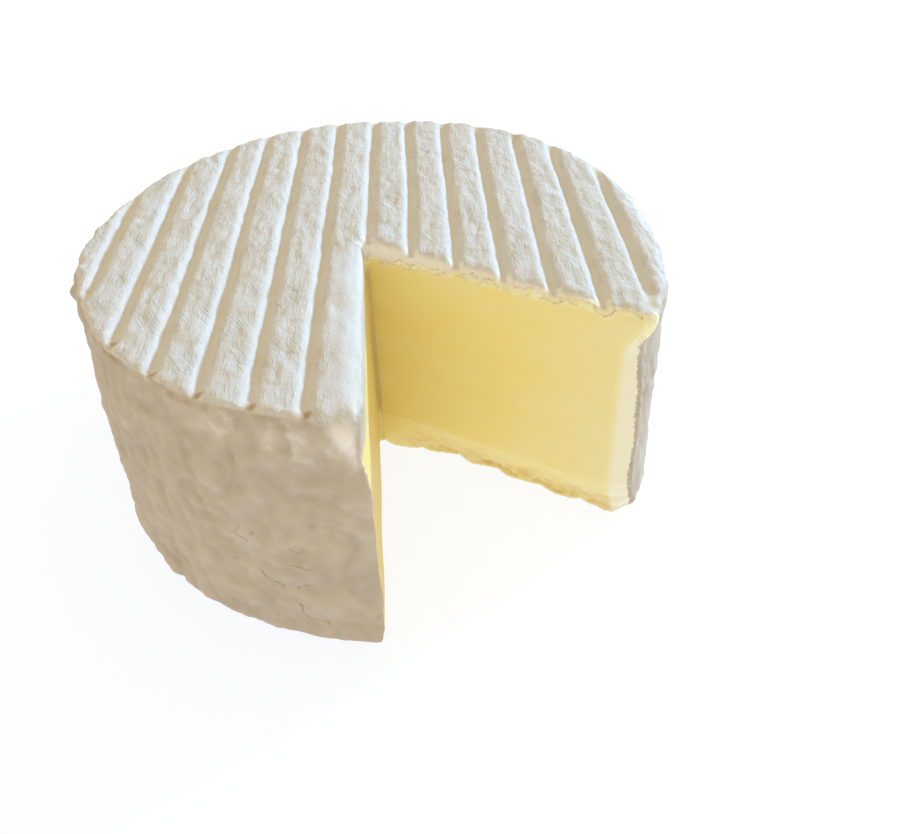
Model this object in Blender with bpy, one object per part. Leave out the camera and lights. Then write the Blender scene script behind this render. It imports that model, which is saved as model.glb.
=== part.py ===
"""A wheel of triple cream cheese with one wedge cut out of it.

The wheel is a turned body with an uneven outline. Its two faces carry the parallel
grooves of the draining mat. A notch cut from just past the middle shows the paste.
Metres, +Z up, the grooves run along Y, and the origin is under the wheel's middle.
"""

import math

import bmesh
import bpy
from mathutils import Vector, noise

MM = 0.001

# Driving dimensions, in millimetres and degrees
WHEEL_RADIUS = 90.0
WHEEL_HEIGHT = 85.0
BASE_SPREAD = 2.3  # how much wider the wheel has sagged at its foot
BASE_ROUND = 5.4
SHARP_BASE_ROUND = 2.4  # the foot is crisper beside the left-hand cut
SHOULDER_ROUND = 3.8
SHOULDER_RISE = 0.9  # the shoulder's arc ends above the top face, which trims it
SOFT_SHOULDER_ROUND = 9.0  # where the top edge has slumped, on the right
SOFT_SHOULDER_ANGLE = 8.0
SOFT_SHOULDER_SPAN = 45.0
FRONT_CORNER_ANGLE = -91.0  # the rind wraps down at the outer end of the left-hand cut
FRONT_CORNER_SPAN = 12.0
LEFT_FLAP = (187.0, 15.0, 9.0, 2.6)  # angle, half its span, depth below the top, reach
RIGHT_FLAP = (-34.0, 17.0, 3.0, 4.0)
FLAP_HEIGHT = 10.0

GROOVE_PITCH = 13.35
GROOVE_OFFSET = -2.6  # the middle groove's place along X
GROOVE_WIDTH = 5.2
GROOVE_DEPTH = 1.7
BASE_GROOVE_WIDTH = 4.4
BASE_GROOVE_DEPTH = 1.1
RIDGE_CROWN = 0.35

NOTCH_APEX = (-4.4, -6.1)
RIGHT_CUT_ANGLE = -31.5
LEFT_CUT_ANGLE = -88.1
RIGHT_LIP = 3.2  # how far the rind folds down over the right-hand cut
LEFT_LIP = 4.6
TEAR_HEIGHT = 18.0  # below this the right-hand cut is torn, not sliced
TEAR_DEPTH = 6.0
TEAR_RUN = 30.0  # how far from the apex the tear reaches its full depth
BEVEL_START = 94.0  # the right-hand cut turns back where it leaves the rind
BEVEL_GROWTH = 0.55
BEVEL_DEEPEST = 14.0
BEVEL_SLOPE = 0.9

# How finely the shapes are divided
RIM_SEGMENTS = 108
SIDE_RINGS = 9
ROUND_RINGS = 4
GRID_STEP = 12.0
WALL_STEP = 4.5
SPARE = 6.0  # how far helper solids reach past the wheel

RIND_COLOUR = (0.80, 0.76, 0.69, 1.0)
PASTE_COLOUR = (0.82, 0.66, 0.27, 1.0)


def smooth_step(value, low, high):
    """0 below low and 1 above high, with a soft turn between them."""
    share = min(1.0, max(0.0, (value - low) / (high - low)))
    return share * share * (3.0 - 2.0 * share)


def uneven(x, y, z, size, seed):
    """A smooth random value from about -1 to 1, whose lumps are size across."""
    return noise.noise(Vector((x / size + seed, y / size - seed, z / size)))


def soft_bump(angle, centre, span):
    """1 at a compass angle, falling to 0 at span degrees either side of it."""
    apart = abs((angle - centre + 180.0) % 360.0 - 180.0)
    return 1.0 - smooth_step(apart, 0.0, span)


def near_level(height, middle, span):
    """1 at a height, falling to 0 at span either side of it."""
    return 1.0 - smooth_step(abs(height - middle), 0.0, span)


# The turned body


def flap(angle, height, middle, span, drop, reach):
    """How far a loose fold of the rind stands out from the side."""
    return reach * soft_bump(angle, middle, span) * near_level(height, WHEEL_HEIGHT - drop, FLAP_HEIGHT)


def outer_radius(angle, height):
    """The wheel's radius at a compass angle in degrees and a height."""
    turn = math.radians(angle)
    share = height / WHEEL_HEIGHT
    x, y = math.cos(turn) * WHEEL_RADIUS, math.sin(turn) * WHEEL_RADIUS
    sag = BASE_SPREAD * (1.0 - share) + 0.8 * math.sin(math.pi * share)
    dents = 0.9 * uneven(x, y, height, 34.0, 3.7) + 0.5 * uneven(x, y, height, 13.0, 8.1)
    return WHEEL_RADIUS + sag + dents + sum(flap(angle, height, *each) for each in (LEFT_FLAP, RIGHT_FLAP))


def shoulder_round(angle):
    """The rounding of the top edge, which is softer on one side."""
    softness = soft_bump(angle, SOFT_SHOULDER_ANGLE, SOFT_SHOULDER_SPAN)
    softness = max(softness, soft_bump(angle, FRONT_CORNER_ANGLE, FRONT_CORNER_SPAN))
    return SHOULDER_ROUND + (SOFT_SHOULDER_ROUND - SHOULDER_ROUND) * softness


def side_profile(angle):
    """The wheel's outer line at an angle, from under its foot to above its top."""
    crisp = soft_bump(angle, FRONT_CORNER_ANGLE, 2 * FRONT_CORNER_SPAN)
    foot = BASE_ROUND + (SHARP_BASE_ROUND - BASE_ROUND) * crisp
    line = [(outer_radius(angle, 0.0) - foot - 0.4, -SPARE)]
    for ring in range(ROUND_RINGS + 1):
        turn = math.pi / 2 * ring / ROUND_RINGS
        height = foot * (1.0 - math.cos(turn))
        inset = foot * (1.0 - math.sin(turn))
        line.append((outer_radius(angle, height) - inset, height))
    corner = shoulder_round(angle)
    summit = WHEEL_HEIGHT + SHOULDER_RISE
    straight = summit - corner - foot
    for ring in range(1, SIDE_RINGS):
        height = foot + straight * ring / SIDE_RINGS
        line.append((outer_radius(angle, height), height))
    for ring in range(ROUND_RINGS + 1):
        turn = math.pi / 2 * ring / ROUND_RINGS
        height = summit - corner * (1.0 - math.sin(turn))
        inset = corner * (1.0 - math.cos(turn))
        line.append((outer_radius(angle, height) - inset, height))
    line.append((line[-1][0] - 0.3, summit + SPARE))
    return line


def mesh_of_rings(name, rings):
    """A closed mesh through rings of points, the lowest first, capped at both ends."""
    mesh = bmesh.new()
    loops = [[mesh.verts.new([c * MM for c in point]) for point in ring] for ring in rings]
    count = len(loops[0])
    for low, high in zip(loops, loops[1:]):
        for i in range(count):
            j = (i + 1) % count
            mesh.faces.new((low[i], low[j], high[j], high[i]))
    mesh.faces.new(loops[0][::-1])
    mesh.faces.new(loops[-1])
    bmesh.ops.recalc_face_normals(mesh, faces=mesh.faces)
    data = bpy.data.meshes.new(name)
    mesh.to_mesh(data)
    mesh.free()
    made = bpy.data.objects.new(name, data)
    bpy.context.scene.collection.objects.link(made)
    return made


def turned_body():
    """The whole wheel before its grooves and its notch."""
    profiles = []
    for step in range(RIM_SEGMENTS):
        angle = 360.0 * step / RIM_SEGMENTS
        turn = math.radians(angle)
        profiles.append([(r * math.cos(turn), r * math.sin(turn), z) for r, z in side_profile(angle)])
    return mesh_of_rings("cheese_wheel", list(zip(*profiles)))


# The grooved faces


def groove_wander(index, y):
    """How far a groove strays sideways along its length."""
    return 0.7 * noise.noise(Vector((index * 3.1, y / 60.0, 5.0)))


def groove_cut(offset, width, depth):
    """The depth of a round-bottomed groove at an offset from its middle."""
    if abs(offset) >= width / 2:
        return 0.0
    return depth * math.cos(math.pi * offset / width) ** 2


def top_height(x, y, cut):
    """The height of the top face, whose ridges are soft and a little lumpy."""
    crown = RIDGE_CROWN if cut == 0.0 else 0.0
    lumps = 0.45 * uneven(x, y, 0.0, 17.0, 1.3) + 0.25 * uneven(x, y, 0.0, 8.0, 6.2)
    return WHEEL_HEIGHT + crown + lumps - cut


def grid_lines():
    """(groove number, offset from it) for each line of the grid, from left to right."""
    reach = int(WHEEL_RADIUS / GROOVE_PITCH) + 1
    quarter = GROOVE_WIDTH / 4
    offsets = [-2 * quarter, -quarter, 0.0, quarter, 2 * quarter, GROOVE_PITCH / 2]
    return [(index, offset) for index in range(-reach, reach + 1) for offset in offsets]


def grooved_block():
    """A block as high as the wheel, with a grooved top and a grooved foot."""
    lines = grid_lines()
    rows = 2 * int((WHEEL_RADIUS + SPARE) / GRID_STEP) + 1
    depth_range = [(row - rows // 2) * GRID_STEP for row in range(rows)]
    mesh = bmesh.new()
    top, foot = [], []
    for y in depth_range:
        top_row, foot_row = [], []
        for index, offset in lines:
            x = GROOVE_OFFSET + index * GROOVE_PITCH + offset + groove_wander(index, y)
            cut = groove_cut(offset, GROOVE_WIDTH, GROOVE_DEPTH)
            base_cut = groove_cut(offset, BASE_GROOVE_WIDTH, BASE_GROOVE_DEPTH)
            top_row.append(mesh.verts.new((x * MM, y * MM, top_height(x, y, cut) * MM)))
            foot_row.append(mesh.verts.new((x * MM, y * MM, base_cut * MM)))
        top.append(top_row)
        foot.append(foot_row)
    for j in range(len(depth_range) - 1):
        for i in range(len(lines) - 1):
            mesh.faces.new((top[j][i], top[j][i + 1], top[j + 1][i + 1], top[j + 1][i]))
            mesh.faces.new((foot[j][i], foot[j + 1][i], foot[j + 1][i + 1], foot[j][i + 1]))
    rim = [(top[0], foot[0]), ([row[-1] for row in top], [row[-1] for row in foot])]
    rim += [(top[-1][::-1], foot[-1][::-1])]
    rim += [([row[0] for row in top][::-1], [row[0] for row in foot][::-1])]
    for high, low in rim:
        for i in range(len(high) - 1):
            mesh.faces.new((low[i], low[i + 1], high[i + 1], high[i]))
    bmesh.ops.recalc_face_normals(mesh, faces=mesh.faces)
    data = bpy.data.meshes.new("grooved_block")
    mesh.to_mesh(data)
    mesh.free()
    made = bpy.data.objects.new("grooved_block", data)
    bpy.context.scene.collection.objects.link(made)
    return made


# The notch


def lip_fold(depth, lip):
    """How far the rind's edge is pressed back at a depth below the top face."""
    share = min(1.0, max(0.0, 1.0 - depth / lip))
    return lip * (1.0 - math.sqrt(max(0.0, 1.0 - share * share)))


def right_setback(along, height):
    """How far the right-hand cut lies behind its flat plane."""
    depth = WHEEL_HEIGHT - height
    ragged = RIGHT_LIP * (1.0 + 0.35 * uneven(along, 0.0, 0.0, 5.0, 2.2))
    back = lip_fold(depth, ragged) * smooth_step(along, -8.0, 8.0)
    torn = smooth_step(TEAR_HEIGHT - height, 0.0, TEAR_HEIGHT) * smooth_step(along, -4.0, TEAR_RUN)
    back += TEAR_DEPTH * torn * (1.0 + 0.25 * uneven(along, height, 0.0, 8.0, 4.4))
    back += 0.6 * smooth_step(TEAR_HEIGHT - height, 0.0, 2.0)
    bevel_start = BEVEL_START - BEVEL_GROWTH * min(BEVEL_DEEPEST, max(0.0, depth))
    back += BEVEL_SLOPE * max(0.0, along - bevel_start)
    return back + 0.35 * uneven(along, height, 0.0, 26.0, 7.9)


def left_setback(along, height):
    """How far the left-hand cut lies behind its flat plane."""
    depth = WHEEL_HEIGHT - height
    soft = LEFT_LIP * (1.0 + 0.5 * smooth_step(along, WHEEL_RADIUS - 14.0, WHEEL_RADIUS))
    back = lip_fold(depth, soft * (1.0 + 0.2 * uneven(along, 0.0, 0.0, 9.0, 5.1)))
    back *= smooth_step(along, -8.0, 8.0)
    back += 1.0 * smooth_step(8.0 - height, 0.0, 8.0)
    return back + 0.3 * uneven(along, height, 0.0, 22.0, 9.3)


def direction(angle):
    turn = math.radians(angle)
    return Vector((math.cos(turn), math.sin(turn)))


def notch_heights():
    """The levels of the notch, closest where the rind folds over its edge."""
    lip_levels = [WHEEL_HEIGHT - drop for drop in (7.0, 5.0, 3.6, 2.6, 1.7, 0.9, 0.3)]
    torn_levels = [TEAR_HEIGHT * share for share in (0.0, 0.2, 0.42, 0.65, 0.85, 1.0)]
    plain_levels = [TEAR_HEIGHT + 1.6]
    count = 7
    rise = lip_levels[0] - plain_levels[0]
    plain_levels += [plain_levels[0] + rise * step / count for step in range(1, count)]
    ends = [-SPARE], [WHEEL_HEIGHT + 1.0, WHEEL_HEIGHT + 2 * SPARE]
    return ends[0] + torn_levels + plain_levels + lip_levels + ends[1]


def notch_outline(height):
    """The notch's outline at a level: in along the right-hand cut and out along the left."""
    apex = Vector(NOTCH_APEX)
    level = min(WHEEL_HEIGHT + 1.0, max(0.0, height))
    right, left = direction(RIGHT_CUT_ANGLE), direction(LEFT_CUT_ANGLE)
    right_back = direction(RIGHT_CUT_ANGLE + 90.0)
    left_back = direction(LEFT_CUT_ANGLE - 90.0)
    reach = WHEEL_RADIUS + 3 * SPARE
    steps = int(reach / WALL_STEP)
    places = [reach * step / steps for step in range(1, steps + 1)]
    outline = [apex + right * s + right_back * right_setback(s, level) for s in places[::-1]]
    corner_a, corner_b = right_setback(0.0, level), left_setback(0.0, level)
    spread = right_back.x * left_back.y - right_back.y * left_back.x
    corner_x = (corner_a * left_back.y - corner_b * right_back.y) / spread
    corner_y = (right_back.x * corner_b - left_back.x * corner_a) / spread
    outline.append(apex + Vector((corner_x, corner_y)))
    outline += [apex + left * s + left_back * left_setback(s, level) for s in places]
    outline.append(apex + (left + right) * reach)
    return [(point.x, point.y, height) for point in outline]


def notch_solid():
    """The wedge-shaped solid that is taken out of the wheel."""
    return mesh_of_rings("notch", [notch_outline(height) for height in notch_heights()])


# Putting the wheel together


def combine(body, other, operation):
    """Applies one Boolean to body and removes the helper."""
    modifier = body.modifiers.new("combine", "BOOLEAN")
    modifier.object = other
    modifier.operation = operation
    modifier.solver = "EXACT"
    graph = bpy.context.evaluated_depsgraph_get()
    joined = bpy.data.meshes.new_from_object(body.evaluated_get(graph))
    body.modifiers.clear()
    body.data = joined
    bpy.data.objects.remove(other)


def centre_on_base(body):
    """Moves the mesh so that its box stands on the origin."""
    xs, ys, zs = zip(*[vertex.co for vertex in body.data.vertices])
    middle = Vector(((min(xs) + max(xs)) / 2, (min(ys) + max(ys)) / 2, min(zs)))
    for vertex in body.data.vertices:
        vertex.co -= middle


def principled(name, colour, roughness, subsurface):
    material = bpy.data.materials.new(name)
    material.use_nodes = True
    shader = material.node_tree.nodes["Principled BSDF"]
    shader.inputs["Base Color"].default_value = colour
    shader.inputs["Roughness"].default_value = roughness
    shader.inputs["Metallic"].default_value = 0.0
    shader.inputs["Subsurface Weight"].default_value = subsurface
    shader.inputs["Subsurface Scale"].default_value = 4.0 * MM
    return material


def is_cut_face(centre, normal):
    """True for a face of the notch that lies under the rind."""
    x, y, z = (c / MM for c in centre)
    near = Vector((x, y)) - Vector(NOTCH_APEX)
    if abs(normal.z) > 0.75 or z > WHEEL_HEIGHT - 2.4:
        return False
    bearing = math.degrees(math.atan2(near.y, near.x))
    inside = LEFT_CUT_ANGLE - 6.0 < bearing < RIGHT_CUT_ANGLE + 8.0
    outward = Vector((x, y)).normalized().dot(normal.xy)
    return near.length < 14.0 or (inside and outward < 0.82)


def paint(body):
    """Gives the rind and the paste their own materials."""
    body.data.materials.clear()
    body.data.materials.append(principled("rind", RIND_COLOUR, 0.85, 0.1))
    body.data.materials.append(principled("paste", PASTE_COLOUR, 0.5, 0.3))
    for face in body.data.polygons:
        face.material_index = int(is_cut_face(face.center, face.normal))
    body.data.shade_smooth()
    body.data.set_sharp_from_angle(angle=math.radians(35.0))


def main():
    for old in list(bpy.data.objects):
        bpy.data.objects.remove(old)
    wheel = turned_body()
    combine(wheel, grooved_block(), "INTERSECT")
    combine(wheel, notch_solid(), "DIFFERENCE")
    paint(wheel)
    centre_on_base(wheel)


main()
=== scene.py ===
"""The looks of a triple cream cheese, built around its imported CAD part.

The wheel is shaped again from the same dimensions as the part, with finer lines, and is
remeshed into even faces. Then its rind gets the relief of powdery mould and its two cuts
that of soft paste. Lengths are in millimetres until a mesh is written, in metres, +Z up.
"""

import math
from types import SimpleNamespace

import bmesh
import bpy
import numpy as np
from mathutils import Matrix, Vector, noise
from mathutils.bvhtree import BVHTree


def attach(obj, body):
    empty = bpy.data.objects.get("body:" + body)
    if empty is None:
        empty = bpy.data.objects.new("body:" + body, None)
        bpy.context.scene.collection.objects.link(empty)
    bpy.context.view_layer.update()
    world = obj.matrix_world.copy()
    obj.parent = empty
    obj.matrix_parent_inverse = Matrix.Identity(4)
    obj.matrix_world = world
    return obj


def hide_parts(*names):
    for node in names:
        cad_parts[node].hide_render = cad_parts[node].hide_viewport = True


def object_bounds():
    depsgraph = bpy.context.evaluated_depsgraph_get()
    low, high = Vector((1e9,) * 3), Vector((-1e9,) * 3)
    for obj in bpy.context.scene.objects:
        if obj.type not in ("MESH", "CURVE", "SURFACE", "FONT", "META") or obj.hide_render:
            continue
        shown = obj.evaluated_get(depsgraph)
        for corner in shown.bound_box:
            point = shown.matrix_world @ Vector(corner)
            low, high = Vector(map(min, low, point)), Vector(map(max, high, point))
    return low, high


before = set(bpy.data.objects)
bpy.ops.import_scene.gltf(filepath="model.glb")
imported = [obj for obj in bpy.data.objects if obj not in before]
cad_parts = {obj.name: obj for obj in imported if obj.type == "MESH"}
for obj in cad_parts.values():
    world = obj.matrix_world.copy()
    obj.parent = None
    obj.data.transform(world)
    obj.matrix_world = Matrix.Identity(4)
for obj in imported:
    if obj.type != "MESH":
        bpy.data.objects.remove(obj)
cad_low, cad_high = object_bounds()

MM = 0.001

# The wheel, with the part's driving dimensions apart from a crisper shoulder and filled groove ends
WHEEL_RADIUS = 90.0
WHEEL_HEIGHT = 85.0
BASE_SPREAD = 2.3  # how much wider the wheel has sagged at its foot
SIDE_BULGE = 0.8
BASE_ROUND = 5.4
SHARP_BASE_ROUND = 2.4  # the foot is crisper beside the left-hand cut
SHOULDER_ROUND = 2.2
SHOULDER_RISE = 0.7  # the shoulder's arc ends above the top face, which trims it
SOFT_SHOULDER_ROUND = 9.0  # where the top edge has slumped, on the right
SOFT_SHOULDER_ANGLE = 8.0
SOFT_SHOULDER_SPAN = 45.0
FRONT_CORNER_ANGLE = -91.0  # the rind wraps down at the outer end of the left-hand cut
FRONT_CORNER_SPAN = 12.0
LEFT_FLAP = (187.0, 15.0, 9.0, 2.6)  # angle, half its span, depth below the top, reach
RIGHT_FLAP = (-34.0, 17.0, 3.0, 4.0)
FLAP_HEIGHT = 10.0
GROOVE_PITCH = 13.35
GROOVE_OFFSET = -2.6  # the middle groove's place along X
GROOVE_WIDTH = 5.2
GROOVE_DEPTH = 1.7
BASE_GROOVE_WIDTH = 4.4
BASE_GROOVE_DEPTH = 1.1
RIDGE_CROWN = 0.35
RIM_FILL = 0.8  # how much of a groove's depth is lost where it runs out at the rim
RIM_FILL_FROM = 6.0  # the loss starts this far inside the rim
RIM_FILL_TO = 1.0

# The notch, with the part's driving dimensions apart from the corner's wrap
NOTCH_APEX = (-4.4, -6.1)
RIGHT_CUT_ANGLE = -31.5
LEFT_CUT_ANGLE = -88.1
RIGHT_LIP = 3.2  # how far the rind folds down over the right-hand cut
LEFT_LIP = 4.6
APEX_FADE = 8.0  # the folds over both cuts fade in over this far either side of the apex
LEFT_FOOT_SETBACK = 1.0  # the left-hand cut draws back a little at its foot
LEFT_FOOT_HEIGHT = 8.0
CORNER_WRAP = 2.6  # how far the upper front corner of the left-hand cut is rounded back
TEAR_HEIGHT = 18.0  # below this the right-hand cut is torn, not sliced
TEAR_DEPTH = 6.0
TEAR_RUN = 30.0  # how far from the apex the tear reaches its full depth
TEAR_STEP = 0.6  # the small ledge where the slice ends and the tear begins
TEAR_LEDGE_HEIGHT = 2.0
BEVEL_START = 94.0  # the right-hand cut turns back where it leaves the rind
BEVEL_GROWTH = 0.55
BEVEL_DEEPEST = 14.0
BEVEL_SLOPE = 0.9

# How finely the shapes are divided before they are joined
RIM_SEGMENTS = 300
SIDE_RINGS = 44
ROUND_RINGS = 7
ROW_STEP = 3.0
GROOVE_LINES = 8
RIDGE_LINES = 4
WALL_STEP = 1.6
LIP_LEVELS = 16  # the notch's levels lie closest where the rind folds over its edge
LIP_LEVELS_DOWN = 8.0  # they start this far below the top face
LIP_LEVELS_UP = 0.3  # and end this far above it
SPARE = 6.0  # how far helper solids reach past the wheel
FOOT_INSET = 0.4  # the turned body narrows a little past the foot and past the top
TOP_INSET = 0.3
FACE_SIZE = 0.8
SOFTEN_SHARE = 0.5
SOFTEN_ROUNDS = 2
MOST_TRIANGLES = 192000
BOX_SHARE = 0.9995  # the relief may reach this share of the part's half width
BASE_GAP = 0.01  # between the part's box and the relief, at the foot
TOP_GAP = 0.02

# The rind and its torn edge over the right-hand cut
RIND_THICKNESS = 1.0
RIND_STEP = 0.3  # how far the rind's cut edge stands proud of the paste
CUT_DEPTHS = (0.5, 1.5)  # between these depths under the skin, rind turns into cut
RIGHT_CUT_BEFORE = 1.0  # the right-hand cut reaches this far in front of its plane,
RIGHT_CUT_BEHIND = 14.0  # this far behind it
RIGHT_CUT_INNER = 2.0  # and this far inwards past the apex
UNDERSIDE_NORMAL = -0.6  # a surface that faces down more than this is the wheel's underside
FOOT_KEPT = (0.3, 2.0)  # the relief fades out between these heights, so that the wheel stands flat
LIP_DROP = 5.5  # how far below the top face the torn edge hangs at the apex
LIP_RISES = ((2.6, 2.0, 40.0), (2.2, 50.0, 92.0))  # rise, and between which distances along the cut
LIP_BAND = (12.0, 8.0)  # the edge's marks fade in between these depths below the top face
TOP_WRAP = 2.6  # how much thicker the rind is where it wraps over the top of the left-hand cut
TOP_WRAP_FADE = (7.0, 14.0)  # the wrap fades out between these depths below the top face
FRONT_WRAP = 1.6  # the share by which the wrap grows towards the front corner
FRONT_WRAP_RUN = 22.0  # over this distance before the rim
PRESSED_REACH = 1.5  # how wide the knife pressed the rind beside the left-hand cut
PRESSED_SPREAD = 6.5  # how much wider that band is near the top

# Marks on the side and the rim: compass angle, height and how far each reaches
CRACK_SPOTS = ((-110.0, 33.0, 20.0), (-104.0, 15.0, 12.0))
FAINT_CRACK_SPOTS = ((40.0, 30.0, 18.0), (150.0, 45.0, 18.0))
BLOOM_SPOTS = ((-114.0, 79.0, 9.0), (-103.0, 77.0, 12.0), (-95.0, 74.0, 9.0), (60.0, 70.0, 16.0))
BLOTCH_SPOT = (54.7, 85.0, 9.0)
FLAKE_SPOTS = ((174.0, 84.0, 3.4, 91.0), (192.0, 79.0, 3.2, 91.5))  # and the distance from the axis
FLAKE_REACH = 1.7  # how far the flakes stand out
CRUST_ANGLE = -145.0  # where the brown crust of the rim is thickest
CRUST_SPAN = (12.0, 50.0)  # it thins out between these angles from there
CRUST_DROP = 1.6  # how far its middle lies below the top face
PITTED_GROOVES = range(-5, 0)  # the grooves with a brown pit where they meet the front rim
PIT_INSET = 2.6  # from the rim
PIT_SHIFT = 0.8  # to the right of the groove's middle
PIT_DROP = 1.0
PIT_SIZE = (0.8, 2.2)  # a pit fades out between these distances from its middle

# The surface's own values
SUBSURFACE_WEIGHT = 0.12
SUBSURFACE_RADIUS = (1.0, 0.6, 0.25)
SUBSURFACE_SCALE = 2.0
SPECULAR_LEVEL = 0.25
RIND_ROUGHNESS = 0.9
PASTE_ROUGHNESS = 0.5
PASTE_BUMP = 0.15  # how strong the fine relief is on the paste, set against the rind's
BUMP_STRENGTH = 0.8
BUMP_HEIGHT = 0.26

# The colours of rind and paste, in linear light
RIND_WHITE = (0.705, 0.70, 0.68, 1.0)
RIND_CREAM = (0.665, 0.645, 0.59, 1.0)
# partly whiter mould, partly painted highlight: the groove slopes that face the key light, and the raised
# hairs
SLOPE_WHITE_AND_HIGHLIGHT = (0.76, 0.72, 0.67, 1.0)
RIND_BLOOM = (0.76, 0.71, 0.63, 1.0)
# painted highlight on the pressed band beside the left-hand cut, brighter than the rind's white
PRESSED_HIGHLIGHT = (0.93, 0.90, 0.86, 1.0)
# painted light on the steep rind fold over the right-hand cut, which lies in shade
LIP_PAINTED_LIGHT = (0.93, 0.91, 0.86, 1.0)
# painted shade: the side's colour is darker and warmer than the top's, as the side lies in shade
RIND_SIDE_SHADE = (0.60, 0.515, 0.40, 1.0)
# painted shade in the hollows of the side
RIND_HOLLOW_SHADE = (0.48, 0.405, 0.31, 1.0)
RIND_BEIGE = (0.60, 0.545, 0.465, 1.0)
# partly thinner mould, partly painted shade: the groove slope that faces away from the light
TAN_AND_SHADE = (0.74, 0.68, 0.57, 1.0)
RIND_BROWN = (0.42, 0.25, 0.10, 1.0)
# painted shade inside the side's fine cracks
CRACK_SHADE = (0.26, 0.20, 0.13, 1.0)
PASTE_YELLOW = (0.95, 0.81, 0.315, 1.0)
PASTE_PALE = (0.95, 0.84, 0.41, 1.0)
PASTE_OUTER = (0.86, 0.81, 0.54, 1.0)
# the deeper yellow of the torn crumbs, and painted shadow on the left-hand cut
PASTE_DEEP_AND_SHADOW = (0.66, 0.44, 0.10, 1.0)
# painted shade in the crease over the torn foot and down the notch's corner
CREASE_SHADE = (0.38, 0.23, 0.06, 1.0)
LIP_CREAM = (0.97, 0.90, 0.57, 1.0)
# painted shadow: the thin golden-brown lines under and over the fringe's flakes
LIP_SHADOW_LINE = (0.52, 0.36, 0.14, 1.0)
LIP_SHADOW_LINES = ((0.3, 3.5, 0.65), (-1.3, 2.6, 0.5))  # depth in the paste, length of a break, strength
FACET_CREAM = (0.90, 0.86, 0.64, 1.0)

# The light, the sky and the floor, in metres and watts
KEY_LIGHT = {
    "azimuth": 32.0,
    "elevation": 20.0,
    "distance": 1.6,
    "size": 0.24,
    "power": 31.0,
    "colour": (0.36, 0.64, 1.0),
}
LIGHT_TARGET = (0.0, 0.0, 0.04)
SKY_COLOUR = (1.0, 0.87, 0.65, 1.0)
SKY_STRENGTH = 0.81
FLOOR_REACH = 3.0
FLOOR_GREY = (0.30, 0.30, 0.30, 1.0)
FLOOR_GLOW = (0.90, 0.94, 1.0, 1.0)
FLOOR_GLOW_STRENGTH = 0.83

# The camera of the photograph: 900 by 834 pixels
IMAGE_WIDTH = 900
IMAGE_HEIGHT = 834
FOCAL_PIXELS = 884.0
OPTICAL_CENTRE = (464.6, 349.8)
CAMERA_DOWN = 36.77
CAMERA_ROLL = -0.93
CAMERA_HEADING = -3.0  # the grooves run 3 degrees off the line of sight
CAMERA_TARGET = (23.8, -64.5, 85.2)
CAMERA_DISTANCE = 228.0
SENSOR_WIDTH = 36.0


def smooth_step(value, low, high):
    """0 below low and 1 above high, with a soft turn between them."""
    share = min(1.0, max(0.0, (value - low) / (high - low)))
    return share * share * (3.0 - 2.0 * share)


def uneven(x, y, z, size, seed):
    """A smooth random value from about -1 to 1, whose lumps are size across."""
    return noise.noise(Vector((x / size + seed, y / size - seed, z / size)))


def soft_bump(angle, centre, span):
    """1 at a compass angle, falling to 0 at span degrees either side of it."""
    apart = abs((angle - centre + 180.0) % 360.0 - 180.0)
    return 1.0 - smooth_step(apart, 0.0, span)


def near_level(height, middle, span):
    """1 at a height, falling to 0 at span either side of it."""
    return 1.0 - smooth_step(abs(height - middle), 0.0, span)


def direction(angle):
    """The level unit vector at a compass angle in degrees."""
    turn = math.radians(angle)
    return Vector((math.cos(turn), math.sin(turn)))


# The turned body


def flap_reach(angle, height, middle, span, drop, reach):
    """How far a loose fold of the rind stands out from the side."""
    return reach * soft_bump(angle, middle, span) * near_level(height, WHEEL_HEIGHT - drop, FLAP_HEIGHT)


def outer_radius(angle, height):
    """The wheel's radius at a compass angle in degrees and a height."""
    turn = math.radians(angle)
    share = height / WHEEL_HEIGHT
    x, y = math.cos(turn) * WHEEL_RADIUS, math.sin(turn) * WHEEL_RADIUS
    sag = BASE_SPREAD * (1.0 - share) + SIDE_BULGE * math.sin(math.pi * share)
    dents = 0.9 * uneven(x, y, height, 34.0, 3.7) + 0.5 * uneven(x, y, height, 13.0, 8.1)
    folds = sum(flap_reach(angle, height, *flap) for flap in (LEFT_FLAP, RIGHT_FLAP))
    return WHEEL_RADIUS + sag + dents + folds


def shoulder_round(angle):
    """The rounding of the top edge, which is softer on one side and at the front corner."""
    softness = soft_bump(angle, SOFT_SHOULDER_ANGLE, SOFT_SHOULDER_SPAN)
    softness = max(softness, soft_bump(angle, FRONT_CORNER_ANGLE, FRONT_CORNER_SPAN))
    return SHOULDER_ROUND + (SOFT_SHOULDER_ROUND - SHOULDER_ROUND) * softness


def side_profile(angle):
    """The wheel's outer line at an angle, from under its foot to above its top."""
    crisp = soft_bump(angle, FRONT_CORNER_ANGLE, 2 * FRONT_CORNER_SPAN)
    foot = BASE_ROUND + (SHARP_BASE_ROUND - BASE_ROUND) * crisp
    line = [(outer_radius(angle, 0.0) - foot - FOOT_INSET, -SPARE)]
    for ring in range(ROUND_RINGS + 1):
        turn = math.pi / 2 * ring / ROUND_RINGS
        height = foot * (1.0 - math.cos(turn))
        inset = foot * (1.0 - math.sin(turn))
        line.append((outer_radius(angle, height) - inset, height))
    corner = shoulder_round(angle)
    summit = WHEEL_HEIGHT + SHOULDER_RISE
    straight = summit - corner - foot
    for ring in range(1, SIDE_RINGS):
        height = foot + straight * ring / SIDE_RINGS
        line.append((outer_radius(angle, height), height))
    for ring in range(ROUND_RINGS + 1):
        turn = math.pi / 2 * ring / ROUND_RINGS
        height = summit - corner * (1.0 - math.sin(turn))
        inset = corner * (1.0 - math.cos(turn))
        line.append((outer_radius(angle, height) - inset, height))
    line.append((line[-1][0] - TOP_INSET, summit + SPARE))
    return line


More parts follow.
